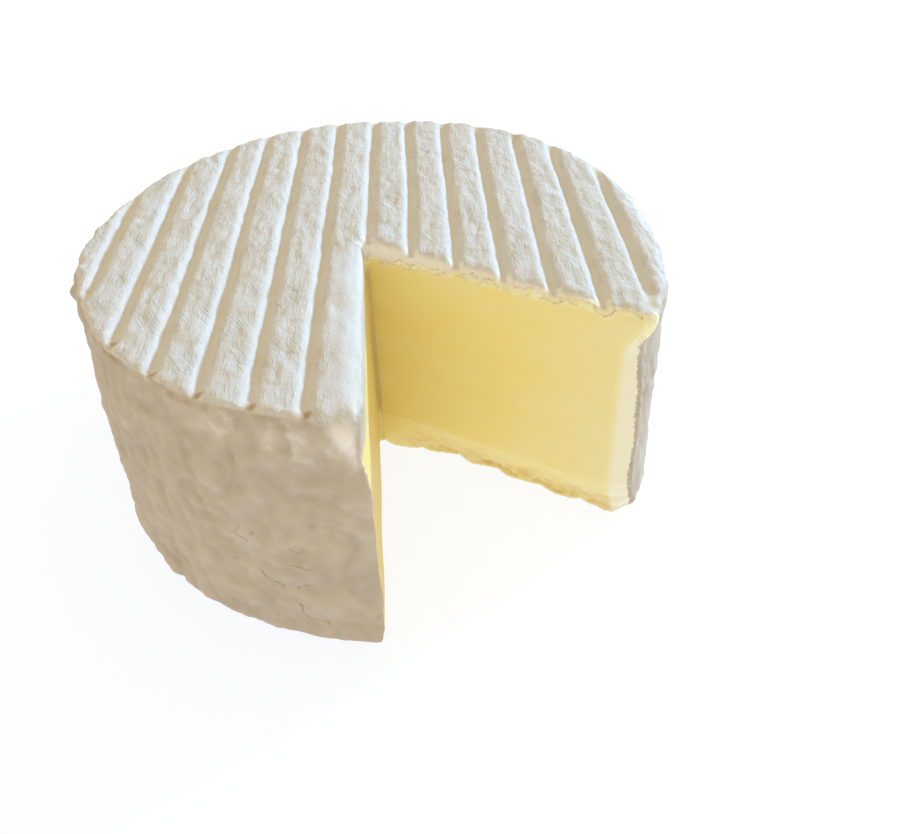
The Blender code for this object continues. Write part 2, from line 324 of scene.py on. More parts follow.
def linked_object(name, mesh):
    """An object in the scene that holds a bmesh's geometry."""
    bmesh.ops.recalc_face_normals(mesh, faces=mesh.faces)
    data = bpy.data.meshes.new(name)
    mesh.to_mesh(data)
    mesh.free()
    made = bpy.data.objects.new(name, data)
    bpy.context.scene.collection.objects.link(made)
    return made


def solid_of_rings(name, rings):
    """A closed solid through rings of points, the lowest first, capped at both ends."""
    mesh = bmesh.new()
    loops = [[mesh.verts.new([c * MM for c in point]) for point in ring] for ring in rings]
    count = len(loops[0])
    for low, high in zip(loops, loops[1:]):
        for i in range(count):
            j = (i + 1) % count
            mesh.faces.new((low[i], low[j], high[j], high[i]))
    mesh.faces.new(loops[0][::-1])
    mesh.faces.new(loops[-1])
    return linked_object(name, mesh)


def turned_body():
    """The whole wheel before its grooves and its notch."""
    profiles = []
    for step in range(RIM_SEGMENTS):
        angle = 360.0 * step / RIM_SEGMENTS
        turn = math.radians(angle)
        profiles.append([(r * math.cos(turn), r * math.sin(turn), z) for r, z in side_profile(angle)])
    return solid_of_rings("turned_body", list(zip(*profiles)))


# The grooved faces


def groove_wander(index, y):
    """How far a groove strays sideways along its length."""
    return 0.7 * noise.noise(Vector((index * 3.1, y / 60.0, 5.0)))


def groove_cut(offset, width, depth):
    """The depth of a round-bottomed groove at an offset from its middle."""
    if abs(offset) >= width / 2:
        return 0.0
    return depth * math.cos(math.pi * offset / width) ** 2


def rim_fill(x, y):
    """The share of its depth that a groove of the top face has lost at a place."""
    radius = math.hypot(x, y)
    return RIM_FILL * smooth_step(radius, WHEEL_RADIUS - RIM_FILL_FROM, WHEEL_RADIUS - RIM_FILL_TO)


def top_height(x, y, cut):
    """The height of the top face, whose ridges are soft and a little lumpy."""
    crown = RIDGE_CROWN * (1.0 - smooth_step(cut, 0.0, 0.5))
    lumps = 0.45 * uneven(x, y, 0.0, 17.0, 1.3) + 0.25 * uneven(x, y, 0.0, 8.0, 6.2)
    return WHEEL_HEIGHT + crown + lumps - cut


def grid_lines():
    """(groove number, offset from it) for each line of the grid, from left to right."""
    reach = int(WHEEL_RADIUS / GROOVE_PITCH) + 1
    in_groove = [GROOVE_WIDTH * (i / GROOVE_LINES - 0.5) for i in range(GROOVE_LINES + 1)]
    ridge = GROOVE_PITCH - GROOVE_WIDTH
    on_ridge = [GROOVE_WIDTH / 2 + ridge * i / RIDGE_LINES for i in range(1, RIDGE_LINES)]
    return [(index, offset) for index in range(-reach, reach + 1) for offset in in_groove + on_ridge]


def grooved_block():
    """A block as high as the wheel, with a grooved top and a grooved foot."""
    lines = grid_lines()
    half_rows = int((WHEEL_RADIUS + SPARE) / ROW_STEP)
    mesh = bmesh.new()
    top, foot = [], []
    for row in range(-half_rows, half_rows + 1):
        y = row * ROW_STEP
        top_row, foot_row = [], []
        for index, offset in lines:
            x = GROOVE_OFFSET + index * GROOVE_PITCH + offset + groove_wander(index, y)
            cut = groove_cut(offset, GROOVE_WIDTH, GROOVE_DEPTH) * (1.0 - rim_fill(x, y))
            base_cut = groove_cut(offset, BASE_GROOVE_WIDTH, BASE_GROOVE_DEPTH)
            top_row.append(mesh.verts.new((x * MM, y * MM, top_height(x, y, cut) * MM)))
            foot_row.append(mesh.verts.new((x * MM, y * MM, base_cut * MM)))
        top.append(top_row)
        foot.append(foot_row)
    for j in range(len(top) - 1):
        for i in range(len(lines) - 1):
            mesh.faces.new((top[j][i], top[j][i + 1], top[j + 1][i + 1], top[j + 1][i]))
            mesh.faces.new((foot[j][i], foot[j + 1][i], foot[j + 1][i + 1], foot[j][i + 1]))
    sides = [(top[0], foot[0]), ([row[-1] for row in top], [row[-1] for row in foot])]
    sides += [(top[-1][::-1], foot[-1][::-1])]
    sides += [([row[0] for row in top][::-1], [row[0] for row in foot][::-1])]
    for high, low in sides:
        for i in range(len(high) - 1):
            mesh.faces.new((low[i], low[i + 1], high[i + 1], high[i]))
    return linked_object("grooved_block", mesh)


# The notch


def lip_fold(depth, lip):
    """How far the rind's edge is pressed back at a depth below the top face."""
    share = min(1.0, max(0.0, 1.0 - depth / lip))
    return lip * (1.0 - math.sqrt(max(0.0, 1.0 - share * share)))


def tear_share(along, height):
    """How torn the right-hand cut is, from 0 where it is sliced to 1 at its foot."""
    return smooth_step(TEAR_HEIGHT - height, 0.0, TEAR_HEIGHT) * smooth_step(along, -4.0, TEAR_RUN)


def right_setback(along, height):
    """How far the right-hand cut lies behind its flat plane."""
    depth = WHEEL_HEIGHT - height
    ragged = RIGHT_LIP * (1.0 + 0.15 * uneven(along, 0.0, 0.0, 5.0, 2.2))
    back = lip_fold(depth, ragged) * smooth_step(along, -APEX_FADE, APEX_FADE)
    crumble = 1.0 + 0.25 * uneven(along, height, 0.0, 8.0, 4.4)
    back += TEAR_DEPTH * tear_share(along, height) * crumble
    back += TEAR_STEP * smooth_step(TEAR_HEIGHT - height, 0.0, TEAR_LEDGE_HEIGHT)
    bevel_start = BEVEL_START - BEVEL_GROWTH * min(BEVEL_DEEPEST, max(0.0, depth))
    back += BEVEL_SLOPE * max(0.0, along - bevel_start)
    return back + 0.35 * uneven(along, height, 0.0, 26.0, 7.9)


def left_setback(along, height):
    """How far the left-hand cut lies behind its flat plane."""
    depth = WHEEL_HEIGHT - height
    soft = LEFT_LIP * (1.0 + 0.5 * smooth_step(along, WHEEL_RADIUS - 14.0, WHEEL_RADIUS))
    back = lip_fold(depth, soft * (1.0 + 0.2 * uneven(along, 0.0, 0.0, 9.0, 5.1)))
    back *= smooth_step(along, -APEX_FADE, APEX_FADE)
    back += LEFT_FOOT_SETBACK * smooth_step(LEFT_FOOT_HEIGHT - height, 0.0, LEFT_FOOT_HEIGHT)
    at_corner = smooth_step(along, WHEEL_RADIUS - 12.0, WHEEL_RADIUS - 3.0)
    back += CORNER_WRAP * at_corner * smooth_step(height, 62.0, 76.0)
    return back + 0.3 * uneven(along, height, 0.0, 22.0, 9.3)


def notch_heights():
    """The levels of the notch, closest where the rind folds over its edge."""
    lowest, span = WHEEL_HEIGHT - LIP_LEVELS_DOWN, LIP_LEVELS_DOWN + LIP_LEVELS_UP
    fine = [lowest + span * step / LIP_LEVELS for step in range(LIP_LEVELS + 1)]
    count = int(fine[0] / WALL_STEP)
    plain = [fine[0] * step / count for step in range(count)]
    return [-SPARE] + plain + fine + [WHEEL_HEIGHT + 1.2, WHEEL_HEIGHT + 2 * SPARE]


def notch_outline(height):
    """The notch's outline at a level: in along the right-hand cut and out along the left."""
    apex = Vector(NOTCH_APEX)
    level = min(WHEEL_HEIGHT + 1.0, max(0.0, height))
    right, left = direction(RIGHT_CUT_ANGLE), direction(LEFT_CUT_ANGLE)
    right_back = direction(RIGHT_CUT_ANGLE + 90.0)
    left_back = direction(LEFT_CUT_ANGLE - 90.0)
    reach = WHEEL_RADIUS + 3 * SPARE
    steps = int(reach / WALL_STEP)
    places = [reach * step / steps for step in range(1, steps + 1)]
    outline = [apex + right * s + right_back * right_setback(s, level) for s in places[::-1]]
    corner_a, corner_b = right_setback(0.0, level), left_setback(0.0, level)
    spread = right_back.x * left_back.y - right_back.y * left_back.x
    corner_x = (corner_a * left_back.y - corner_b * right_back.y) / spread
    corner_y = (right_back.x * corner_b - left_back.x * corner_a) / spread
    outline.append(apex + Vector((corner_x, corner_y)))
    outline += [apex + left * s + left_back * left_setback(s, level) for s in places]
    outline.append(apex + (left + right) * reach)
    return [(point.x, point.y, height) for point in outline]


def notch_solid():
    """The wedge-shaped solid that is taken out of the wheel."""
    return solid_of_rings("notch", [notch_outline(height) for height in notch_heights()])


def apply_modifiers(body):
    """Puts the evaluated mesh in the object and clears its modifiers."""
    graph = bpy.context.evaluated_depsgraph_get()
    made = bpy.data.meshes.new_from_object(body.evaluated_get(graph))
    body.modifiers.clear()
    body.data = made


def combine(body, other, operation):
    """Applies one Boolean to body and removes the helper."""
    modifier = body.modifiers.new("combine", "BOOLEAN")
    modifier.object = other
    modifier.operation = operation
    modifier.solver = "EXACT"
    apply_modifiers(body)
    bpy.data.objects.remove(other)


def surface_tree(body):
    """A search tree of the object's present surface, in millimetres."""
    corners = [vertex.co / MM for vertex in body.data.vertices]
    return BVHTree.FromPolygons(corners, [list(face.vertices) for face in body.data.polygons])


def even_faces(body):
    """Remeshes the object into even faces and softens its edges a little."""
    remesh = body.modifiers.new("remesh", "REMESH")
    remesh.mode = "VOXEL"
    remesh.voxel_size = FACE_SIZE * MM
    soften = body.modifiers.new("soften", "SMOOTH")
    soften.factor = SOFTEN_SHARE
    soften.iterations = SOFTEN_ROUNDS
    apply_modifiers(body)


def thin_faces(body):
    """Joins faces where the surface is plain, until few enough are left."""
    triangles = sum(len(face.vertices) - 2 for face in body.data.polygons)
    thin = body.modifiers.new("thin", "DECIMATE")
    thin.ratio = min(1.0, MOST_TRIANGLES / triangles)
    apply_modifiers(body)


# Relief. Each call of lumps names their size in millimetres and a seed that sets them apart


def smooth_steps(values, low, high):
    """smooth_step for an array."""
    share = np.clip((values - low) / (high - low), 0.0, 1.0)
    return share * share * (3.0 - 2.0 * share)


def lumps(points, size, seed):
    """Smooth noise from about -1 to 1 at each point. size may differ along X, Y and Z."""
    scaled = points / np.array(size) + seed
    return np.array([noise.noise(Vector(point)) for point in scaled])


def creases(points, size, seed):
    """Noise with narrow folds: 1 along thin winding lines and 0 away from them."""
    return np.clip(1.0 - np.abs(lumps(points, size, seed)) * 6.0, 0.0, 1.0)


def read_points(body):
    """Each vertex's place in millimetres, and its normal."""
    count = len(body.data.vertices)
    points = np.empty(count * 3, np.float32)
    body.data.vertices.foreach_get("co", points)
    normals = np.empty(count * 3, np.float32)
    body.data.vertex_normals.foreach_get("vector", normals)
    return points.reshape(-1, 3).astype(float) / MM, normals.reshape(-1, 3).astype(float)


def write_points(body, points):
    """Moves the vertices to these places, in millimetres."""
    body.data.vertices.foreach_set("co", (points * MM).astype(np.float32).ravel())
    body.data.update()


def along_and_front(points, angle):
    """For a cut at an angle: how far out each point lies along it, and how far beside it."""
    out = np.array(direction(angle))
    across = np.array(direction(angle + 90.0))
    flat = points[:, :2] - np.array(NOTCH_APEX)
    return flat @ out, flat @ across


def depth_under_skin(points, skin):
    """How deep each point lies under the uncut wheel's surface."""
    return np.array([skin.find_nearest(Vector(point))[3] for point in points])


def lip_drop(along):
    """How far below the top face the rind's torn edge hangs on the right-hand cut."""
    drop = LIP_DROP
    for rise, start, end in LIP_RISES:
        drop = drop - rise * smooth_steps(along, start, end)
    return drop


def right_paste(points, depth, along):
    """How far each point of the right-hand cut lies inside the paste."""
    ragged = 0.9 * lumps(points, (3.6, 3.6, 30.0), 11.0) + 0.8 * lumps(points, (1.7, 1.7, 5.0), 31.0)
    below_lip = WHEEL_HEIGHT - points[:, 2] - lip_drop(along) - ragged
    inner = 1.0 - smooth_steps(np.hypot(points[:, 0], points[:, 1]), WHEEL_RADIUS - 2.0, WHEEL_RADIUS)
    bare_foot = 3.0 * inner * (1.0 - smooth_steps(points[:, 2], 2.0, 7.0))
    return np.minimum(depth - RIND_THICKNESS, below_lip) + bare_foot


def left_paste(points, depth, along):
    """How far each point of the left-hand cut lies inside the paste."""
    near_top = 1.0 - smooth_steps(WHEEL_HEIGHT - points[:, 2], *TOP_WRAP_FADE)
    wrap = 1.0 + FRONT_WRAP * smooth_steps(along, WHEEL_RADIUS - FRONT_WRAP_RUN, WHEEL_RADIUS)
    ragged = 0.5 * lumps(points, (3.0, 3.0, 3.0), 47.0)
    return depth - RIND_THICKNESS - (TOP_WRAP * wrap + ragged) * near_top


def groove_offsets(points):
    """How far each point lies to the right of the middle of its nearest groove."""
    index = np.round((points[:, 0] - GROOVE_OFFSET) / GROOVE_PITCH)
    middle = np.array([groove_wander(i, y) for i, y in zip(index, points[:, 1])])
    return points[:, 0] - GROOVE_OFFSET - index * GROOVE_PITCH - middle


def ridge_relief(points):
    """The powdery ridges of the two faces: fine grains, streaks along the grooves and blisters."""
    grains = 0.16 * lumps(points, (2.6, 2.6, 2.6), 3.0) + 0.16 * lumps(points, (1.5, 1.5, 1.5), 13.0)
    streaks = 0.30 * lumps(points, (1.8, 8.0, 4.0), 23.0)
    blisters = 0.45 * np.clip(lumps(points, (4.0, 6.0, 4.0), 33.0), 0.0, 1.0)
    flakes = 0.22 * smooth_steps(lumps(points, (3.2, 6.5, 4.0), 37.0), 0.0, 0.14)
    return grains + streaks + blisters + flakes


def side_relief(points):
    """The side's swells, grains and the folds of a rind that has slipped."""
    warp = 6.0 * lumps(points, (16.0, 16.0, 16.0), 29.0)[:, None] * np.array((0.4, 0.4, 1.0))
    swells = 0.6 * lumps(points, (14.0, 14.0, 12.0), 43.0)
    swells += 0.55 * lumps(points + warp, (5.0, 5.0, 6.5), 53.0) + 0.4 * lumps(points, (3.2, 3.2, 3.8), 59.0)
    folds = creases(points + warp, (11.0, 11.0, 15.0), 63.0)
    folds *= smooth_steps(lumps(points, (19.0, 19.0, 19.0), 69.0), -0.15, 0.2)
    grains = 0.12 * lumps(points, (2.6, 2.6, 2.2), 79.0)
    return swells - 0.45 * folds + grains


def rim_closeness(points):
    """1 along the edge between the top face and the side, fading to 0 a few millimetres away."""
    radius = np.hypot(points[:, 0], points[:, 1])
    return smooth_steps(radius, WHEEL_RADIUS - 5.0, WHEEL_RADIUS - 2.0) * smooth_steps(
        points[:, 2], WHEEL_HEIGHT - 5.0, WHEEL_HEIGHT - 1.5
    )


def near_spot(points, angle, height, span, radius=WHEEL_RADIUS):
    """1 at a place on the wheel's side, named by its compass angle and height, fading to 0."""
    spot = np.append(np.array(direction(angle)) * radius, height)
    return 1.0 - smooth_steps(np.linalg.norm(points - spot, axis=1), 0.0, span)


def near_spots(points, spots):
    """near_spot for several places, added up."""
    return sum(near_spot(points, *spot) for spot in spots)


def rim_relief(points):
    """The edge between the top face and the side, crumbly at the front, with two flakes at the left."""
    crumbs = 0.65 * lumps(points, (3.4, 3.4, 3.4), 73.0) + 0.35 * lumps(points, (1.7, 1.7, 1.7), 83.0)
    crumbs *= 1.0 - 0.65 * smooth_steps(points[:, 1], -30.0, 30.0)
    return rim_closeness(points) * crumbs + FLAKE_REACH * near_spots(points, FLAKE_SPOTS)


def rind_relief(points, normals, offset, groove, pressed):
    """How far the mould rind stands out or in at each point."""
    on_face = smooth_steps(np.abs(normals[:, 2]), 0.6, 0.9)
    rough = smooth_steps(np.abs(offset), 1.4, 3.8) * (1.0 - 0.6 * pressed)
    ridge = on_face * rough * ridge_relief(points)
    side = (1.0 - on_face) * side_relief(points)
    return ridge - 0.2 * on_face * groove + side + rim_relief(points)


def cracked_share(points):
    """1 where the side's rind has fine cracks: low at the front and here and there elsewhere."""
    marked = np.clip(1.6 * near_spots(points, CRACK_SPOTS), 0.0, 1.0)
    faint = np.clip(1.6 * near_spots(points, FAINT_CRACK_SPOTS), 0.0, 1.0)
    return np.maximum(marked, 0.5 * faint)


def groove_ends(points):
    """1 at the small brown pits where the grooves run out through the front rim."""
    spots = np.zeros(len(points))
    for index in PITTED_GROOVES:
        x = GROOVE_OFFSET + index * GROOVE_PITCH + groove_wander(index, -WHEEL_RADIUS) + PIT_SHIFT
        y = -math.sqrt((WHEEL_RADIUS - PIT_INSET) ** 2 - x * x)
        away = np.linalg.norm(points - np.array((x, y, WHEEL_HEIGHT - PIT_DROP)), axis=1)
        spots = np.maximum(spots, 1.0 - smooth_steps(away, *PIT_SIZE))
    return spots


def near_line(values, middle, span):
    """near_level for an array."""
    return 1.0 - smooth_steps(np.abs(values - middle), 0.0, span)


def stains(points):
    """The brown crust in patches along the rim, thickest at the front left."""
    angle = np.degrees(np.arctan2(points[:, 1], points[:, 0]))
    apart = np.abs((angle - CRUST_ANGLE + 180.0) % 360.0 - 180.0)
    facing = 1.0 - smooth_steps(apart, *CRUST_SPAN)
    crust = smooth_steps(lumps(points, (3.0, 3.0, 2.2), 131.0), 0.04, 0.36)
    edge = near_line(points[:, 2], WHEEL_HEIGHT - CRUST_DROP, 2.0) * rim_closeness(points)
    blotch = 0.4 * near_spot(points, *BLOTCH_SPOT)
    return np.maximum(np.maximum(groove_ends(points), blotch), edge * crust * (0.15 + 0.85 * facing))


def bloomed_share(points):
    """1 on the side's patches of thicker, whiter mould, high up near the front corner."""
    return np.clip(1.4 * near_spots(points, BLOOM_SPOTS), 0.0, 1.0)


def pressed_share(points, along, beside):
    """1 on the smooth band of rind that the knife pressed down along the left-hand cut, which the material
    paints near white as a highlight where the band tilts towards the light.
    """
    reach = PRESSED_REACH + PRESSED_SPREAD * smooth_steps(points[:, 2], 68.0, 82.0)
    band = (beside < 3.0) * (1.0 - smooth_steps(-beside - reach, -1.5, 2.5))
    return band * smooth_steps(along, -2.0, 6.0) * smooth_steps(points[:, 2], 64.0, 70.0)


def paste_creases(points, along):
    """1 along the crease over the torn foot of the right-hand cut, and down the notch's corner."""
    level = TEAR_HEIGHT - 0.05 * along + 1.6 * lumps(points, (14.0, 14.0, 60.0), 57.0)
    fading = 1.0 - smooth_steps(along, 10.0, 34.0)
    crease = 0.3 * near_line(points[:, 2], level, 0.9) * fading
    away = np.hypot(points[:, 0] - NOTCH_APEX[0], points[:, 1] - NOTCH_APEX[1])
    corner = (1.0 - smooth_steps(away, 1.0, 2.3)) * smooth_steps(WHEEL_HEIGHT - points[:, 2], 5.0, 12.0)
    return np.maximum(crease, corner * (0.3 + 0.7 * smooth_steps(points[:, 2], 15.0, 19.0)))


def paste_relief(points, torn):
    """The faint drag of the knife, and the crumbs where the paste tore."""
    drag = 0.05 * lumps(points, (9.0, 9.0, 1.6), 93.0)
    crumbs = 1.7 * lumps(points, (7.5, 7.5, 5.0), 103.0) + 0.6 * lumps(points, (3.4, 3.4, 2.8), 113.0)
    return drag + np.clip(1.8 * torn, 0.0, 1.0) * crumbs


def store(body, name, values):
    """Keeps one number for each vertex, for the material to read."""
    layer = body.data.attributes.new(name, "FLOAT", "POINT")
    layer.data.foreach_set("value", values.astype(np.float32))


def fit_inside(points, low, high):
    """Shrinks the points, where they reach too far, to stay inside the part's box."""
    low, high = np.array(low) / MM, np.array(high) / MM
    middle = (low + high) / 2
    reach = np.abs(points[:, :2] - middle[:2]).max(0) / ((high - low)[:2] / 2)
    shrink = BOX_SHARE / np.maximum(reach, BOX_SHARE)
    points[:, :2] = middle[:2] + (points[:, :2] - middle[:2]) * shrink
    points[:, 2] = np.clip(points[:, 2], low[2] + BASE_GAP, high[2] - TOP_GAP)
    return points


def measure_points(points, normals, skin):
    """Where each point lies on the two cuts and in the grooves, as one array for each measure."""
    depth = depth_under_skin(points, skin)
    along_right, beside_right = along_and_front(points, RIGHT_CUT_ANGLE)
    along_left, beside_left = along_and_front(points, LEFT_CUT_ANGLE)
    beside = (beside_right > -RIGHT_CUT_BEFORE) & (beside_right < RIGHT_CUT_BEHIND)
    on_right = beside & (along_right > -RIGHT_CUT_INNER) & (normals[:, 2] >= UNDERSIDE_NORMAL)
    inside_right = right_paste(points, depth, along_right)
    inside_left = left_paste(points, depth, along_left)
    on_cut = smooth_steps(depth, *CUT_DEPTHS)
    torn = np.array([tear_share(s, z) for s, z in zip(along_right, points[:, 2])]) * on_right * on_cut
    offset = groove_offsets(points)
    low, high = (WHEEL_HEIGHT - drop for drop in LIP_BAND)
    lip = on_right * smooth_steps(points[:, 2], low, high) * (1.0 - smooth_steps(beside_right, 3.0, 5.0))
    return SimpleNamespace(
        along_right=along_right,
        beside_right=beside_right,
        on_right=on_right,
        on_cut=on_cut,
        paste=np.where(on_right, inside_right, inside_left),
        torn=torn,
        offset=offset,
        groove=1.0 - smooth_steps(np.abs(offset), 0.8, GROOVE_WIDTH / 2),
        pressed=pressed_share(points, along_left, beside_left),
        crease=paste_creases(points, along_right) * on_cut,
        lip=lip,
    )


def relief_of(points, normals, at):
    """How far each point moves out along its normal, or in where it is negative."""
    curl = at.lip * near_line(at.paste, -0.5, 1.4) * (0.8 + 1.9 * lumps(points, (2.2, 2.2, 2.2), 17.0))
    relief = (1.0 - at.on_cut) * rind_relief(points, normals, at.offset, at.groove, at.pressed)
    relief += at.on_cut * paste_relief(points, at.torn) - 0.5 * at.crease
    relief += at.on_cut * (RIND_STEP * (1.0 - smooth_steps(at.paste, -0.5, 0.3)) + curl)
    at_foot = 1.0 - smooth_steps(points[:, 2], *FOOT_KEPT)
    return relief * (1.0 - at_foot)


def surface_marks(points, normals, at):
    """The numbers that the material reads, by the names of their attributes."""
    on_face = smooth_steps(np.abs(normals[:, 2]), 0.5, 0.8)
    on_skin = 1.0 - at.on_cut
    bevel_start = BEVEL_START - BEVEL_GROWTH * np.clip(WHEEL_HEIGHT - points[:, 2], 0.0, BEVEL_DEEPEST)
    at_lip = at.on_right * (1.0 - smooth_steps(at.beside_right, 2.0, 5.0))
    # the groove's far slope, away from the light, which the material paints tan, partly as shade
    floor = on_face * smooth_steps(at.offset, -1.0, -0.1) * (1.0 - smooth_steps(at.offset, 0.0, 2.3))
    return {
        "paste": at.paste,
        # the groove's slope that faces the light, painted with a highlight
        "groove": on_face * near_line(at.offset, -1.25, 1.4),
        "floor": floor * (1.0 - 0.8 * at_lip),
        # painted light and shade on the side: high where the side stands out, low in its hollows
        "raised": np.clip(0.5 + 0.75 * side_relief(points), 0.0, 1.0),
        "bloomed": bloomed_share(points) * on_skin * (1.0 - on_face),
        "top": smooth_steps(normals[:, 2], 0.3, 0.8),
        "torn": at.torn,
        "stain": stains(points) * on_skin,
        "cracked": cracked_share(points) * on_skin * (1.0 - on_face),
        "pressed": at.pressed * (1.0 - at.groove),
        # also read by the material as painted shade
        "crease": at.crease,
        # painted light on the steep faces of the rind's fold over the right-hand cut
        "lip": at.lip * (1.0 - smooth_steps(normals[:, 2], 0.75, 0.95)),
        # painted shadow on the left-hand cut
        "left_cut": at.on_cut * smooth_steps(-at.beside_right, 1.0, 3.0),
        "facet": at.on_right * smooth_steps(at.along_right - bevel_start, -0.4, 1.2),
        "outer": at.on_right * smooth_steps(at.along_right, 50.0, 98.0),
    }


def sculpt(body, skin):
    """Adds the relief of rind and paste, and the numbers that the material reads."""
    points, normals = read_points(body)
    at = measure_points(points, normals, skin)
    points += normals * relief_of(points, normals, at)[:, None]
    write_points(body, fit_inside(points, cad_low, cad_high))
    for name, values in surface_marks(points, normals, at).items():
        store(body, name, values)


# Materials. Each noise names the size of its lumps in millimetres, and each ramp the range of its
# value that it turns into a share


class Nodes:
    """Adds nodes to a material and links them in one call each."""

    def __init__(self, name):
        self.material = bpy.data.materials.new(name)
        self.material.use_nodes = True
        self.tree = self.material.node_tree
        self.shader = self.tree.nodes["Principled BSDF"]

    def add(self, kind, **settings):
        node = self.tree.nodes.new(kind)
        for name, value in settings.items():
            setattr(node, name, value)
        return node

    def connect(self, source, target):
        """Links an output to a socket, or sets the socket where the source is a plain value."""
        if isinstance(source, (int, float, tuple)):
            target.default_value = source
        else:
            self.tree.links.new(source, target)

    def attribute(self, name):
        """One of the numbers that each vertex carries."""
        return self.add("ShaderNodeAttribute", attribute_name=name).outputs["Fac"]

    def share(self, name, most):
        """An attribute, scaled to reach no more than a given share."""
        return self.math("MULTIPLY", self.attribute(name), most)

    def noise(self, size, detail=3.0, turn=0.0):
        """Noise whose lumps have this size along X, Y and Z, in millimetres, turned about Z."""
        mapping = self.add("ShaderNodeMapping", vector_type="TEXTURE")
        mapping.inputs["Scale"].default_value = [length * MM for length in size]
        mapping.inputs["Rotation"].default_value = (0.0, 0.0, math.radians(turn))
        self.connect(self.add("ShaderNodeTexCoord").outputs["Object"], mapping.inputs["Vector"])
        node = self.add("ShaderNodeTexNoise")
        node.inputs["Scale"].default_value = 1.0
        node.inputs["Detail"].default_value = detail
        self.connect(mapping.outputs["Vector"], node.inputs["Vector"])
        return node.outputs["Fac"]

    def ramp(self, value, low, high, from_value=0.0, to_value=1.0):
        """from_value below low and to_value above high, with a soft turn between them."""
        node = self.add("ShaderNodeMapRange", interpolation_type="SMOOTHSTEP")
        self.connect(value, node.inputs["Value"])
        node.inputs["From Min"].default_value = low
        node.inputs["From Max"].default_value = high
        node.inputs["To Min"].default_value = from_value
        node.inputs["To Max"].default_value = to_value
        return node.outputs["Result"]

    def math(self, operation, a, b=0.0):
        """One arithmetic step on a, and on b where it takes two values."""
        node = self.add("ShaderNodeMath", operation=operation)
        self.connect(a, node.inputs[0])
        self.connect(b, node.inputs[1])
        return node.outputs["Value"]

    def blend(self, share, a, b):
        """The colour a where the share is 0, and b where it is 1."""
        node = self.add("ShaderNodeMix", data_type="RGBA")
        self.connect(share, node.inputs["Factor"])
        self.connect(a, node.inputs["A"])
        self.connect(b, node.inputs["B"])
        return node.outputs["Result"]

    def bump(self, height, strength, distance):
        node = self.add("ShaderNodeBump")
        node.inputs["Strength"].default_value = strength
        node.inputs["Distance"].default_value = distance
        self.connect(height, node.inputs["Height"])
        return node.outputs["Normal"]


def crack_lines(n):
    """Thin winding lines, broken into short lengths, where the side's rind has cracked."""
    middle = n.math("ABSOLUTE", n.math("SUBTRACT", n.noise((13.0, 13.0, 8.0), 2.0), 0.5))
    lines = n.ramp(middle, 0.0, 0.024, 1.0, 0.0)
    broken = n.ramp(n.noise((7.0, 7.0, 7.0), 1.0), 0.50, 0.58)
    return n.math("MULTIPLY", n.math("MULTIPLY", lines, broken), n.attribute("cracked"))


def side_colour(n):
    """The side in painted shade, darker and warmer than the top, paler where it stands out and darker in its
    hollows as painted light and shade, with specks and a few fine cracks.
    """
    clouds = n.noise((10.0, 10.0, 12.0), 5.0)
    # painted light and shade: the side is paler on its swells and darker in its hollows
    colour = n.blend(n.attribute("raised"), RIND_HOLLOW_SHADE, RIND_SIDE_SHADE)
    colour = n.blend(n.ramp(clouds, 0.45, 0.75, 0.0, 0.2), colour, RIND_WHITE)
    blooms = n.ramp(n.noise((4.5, 4.5, 4.5), 2.0), 0.43, 0.75, 0.0, 0.65)
    colour = n.blend(n.math("MULTIPLY", n.attribute("bloomed"), blooms), colour, RIND_BLOOM)
    specks = n.ramp(n.noise((2.2, 2.2, 2.2), 1.0), 0.76, 0.8, 0.0, 0.4)
    colour = n.blend(specks, colour, RIND_BROWN)
    # the cracks are painted dark as the shade inside them
    return n.blend(n.math("MULTIPLY", crack_lines(n), 0.55), colour, CRACK_SHADE)


def ridge_colour(n):
    """The faces' white mould over cream, in streaks along the grooves, with beige patches."""
    streaks = n.noise((2.0, 15.0, 5.0), 5.0)
    patches = n.noise((8.0, 13.0, 9.0), 4.0)
    powder = n.noise((1.0, 1.0, 1.0), 2.0)
    colour = n.blend(n.ramp(streaks, 0.40, 0.62), RIND_WHITE, RIND_CREAM)
    colour = n.blend(n.ramp(patches, 0.5, 0.72, 0.0, 0.5), colour, RIND_BEIGE)
    colour = n.blend(n.ramp(powder, 0.5, 0.7, 0.0, 0.6), colour, RIND_WHITE)
    # the raised hairs are lightened with the same colour, partly a painted highlight
    return n.blend(n.math("MULTIPLY", ridge_hairs(n), 0.3), colour, SLOPE_WHITE_AND_HIGHLIGHT)


def rind_colour(n):
    """The rind all over: ridges, the pressed band and the groove slopes with painted highlights, tan groove
    floors partly in painted shade, the side in painted shade, the lip fold in painted light and the brown
    crust of the rim.
    """
    # painted highlight: the pressed band on the side is painted near white, where it tilts to the light
    colour = n.blend(n.share("pressed", 0.9), side_colour(n), PRESSED_HIGHLIGHT)
    # on the top face the pressed band takes the ridges' plain white
    ridges = n.blend(n.share("pressed", 0.6), ridge_colour(n), RIND_WHITE)
    # the faces that look up take the ridges' colours, the rest keeps the side's painted shade
    colour = n.blend(n.attribute("top"), colour, ridges)
    # painted highlight, partly whiter mould, on the groove slope that faces the light
    colour = n.blend(n.share("groove", 0.9), colour, SLOPE_WHITE_AND_HIGHLIGHT)
    # partly thinner mould, partly painted shade on the groove slope that faces away from the light
    colour = n.blend(n.share("floor", 0.9), colour, TAN_AND_SHADE)
    # painted light: the rind's fold over the right-hand cut is painted near white
    colour = n.blend(n.share("lip", 0.95), colour, LIP_PAINTED_LIGHT)
    return n.blend(n.share("stain", 0.75), colour, RIND_BROWN)


